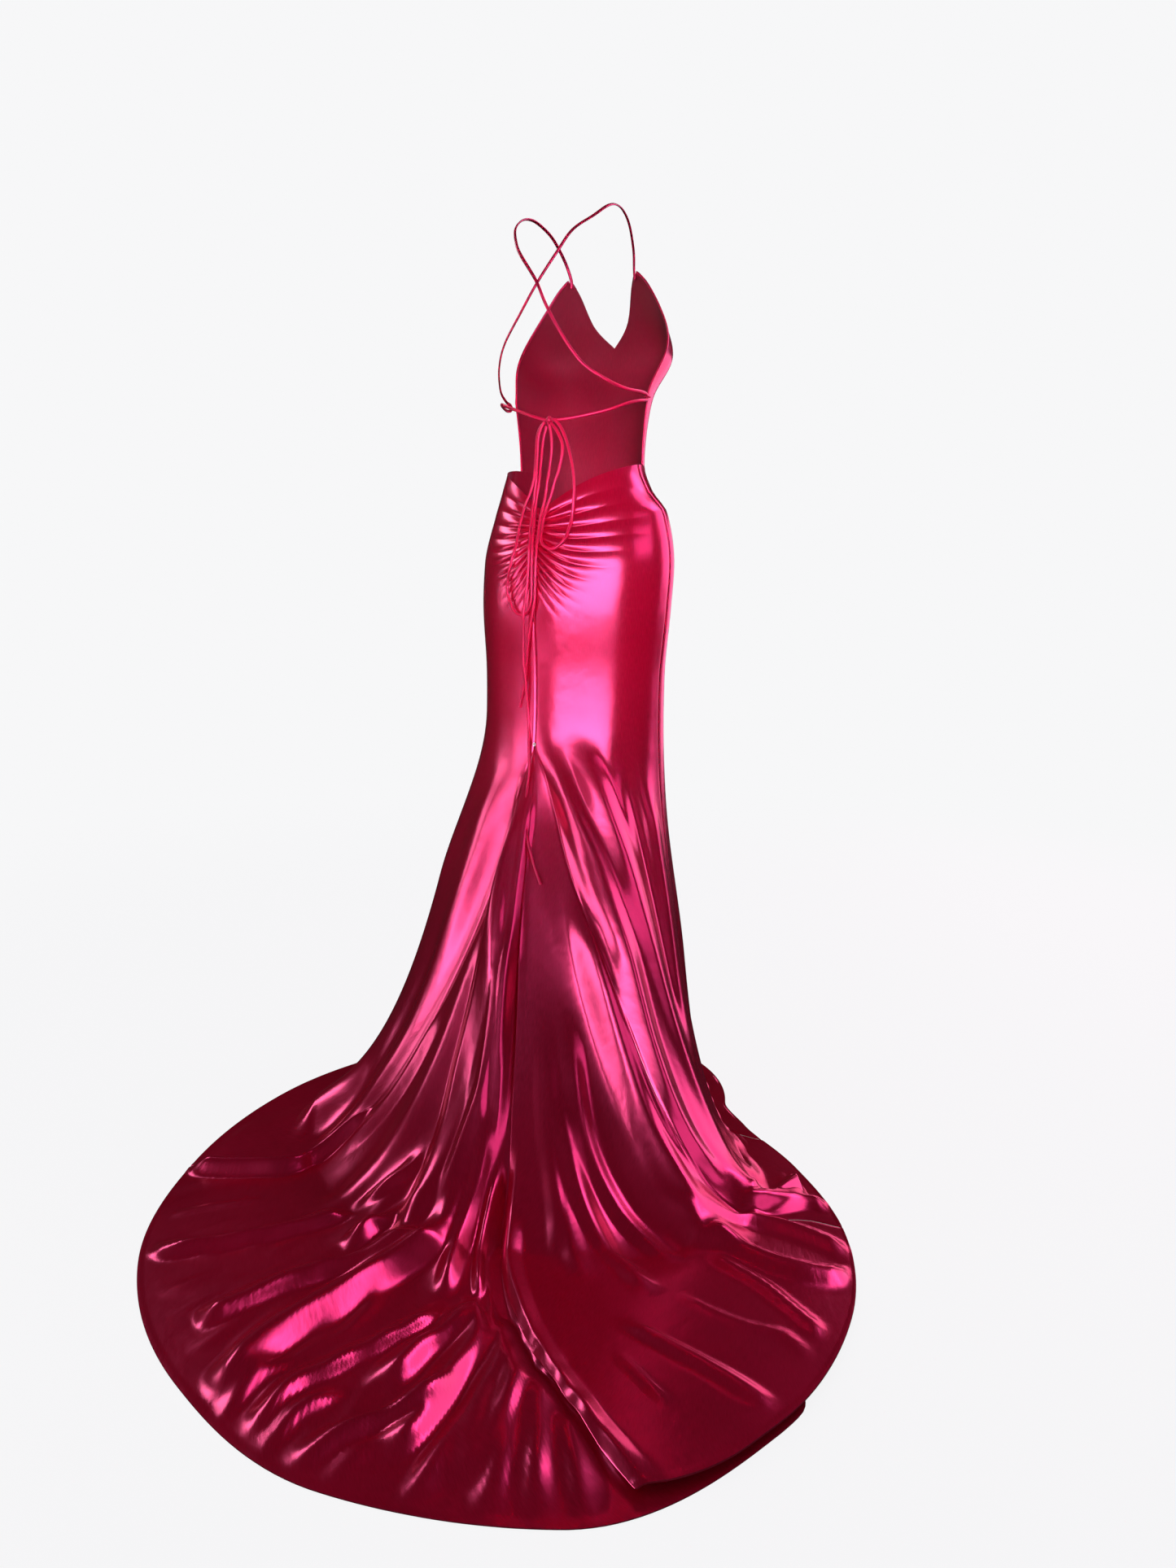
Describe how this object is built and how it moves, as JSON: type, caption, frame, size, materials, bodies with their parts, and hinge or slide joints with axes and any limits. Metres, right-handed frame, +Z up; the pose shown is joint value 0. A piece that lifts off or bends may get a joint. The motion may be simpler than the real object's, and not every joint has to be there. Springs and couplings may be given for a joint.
{
  "type": "backless halter gown with train",
  "caption": "Full-length backless satin gown with crossed shoulder straps, ruched back seam, long tie bow and a flared godet train, standing as worn.",
  "frame": {"origin": "level with the tops of the shoulder straps, midway between the shoulders and over the centre of the waist; the floor is 1.505 m below", "axes": "+Z up; the front of the gown faces -Y, the open back and the train are on the +Y side, and the wearer's right is -X"},
  "size_m": [1.1126, 1.255, 1.5053],
  "materials": {
    "satin": "glossy stretch satin",
    "satin_trim": "narrow sewn satin bands and ties",
    "bead": "small polished bead"
  },
  "bodies": {
    "root": {"bodice_front": "satin", "skirt_front": "satin", "skirt_back_left": "satin", "skirt_back_right": "satin", "train_godet": "satin", "binding_left": "satin_trim", "binding_right": "satin_trim", "side_loop_left": "satin_trim", "side_loop_right": "satin_trim", "strap_left_shoulder": "satin_trim", "strap_right_shoulder": "satin_trim", "waist_knot": "satin_trim", "tie_loop_left": "satin_trim", "tie_loop_right": "satin_trim", "tie_end_long": "satin_trim", "tie_end_short": "satin_trim", "seam_bead": "bead"}
  },
  "joints": []
}
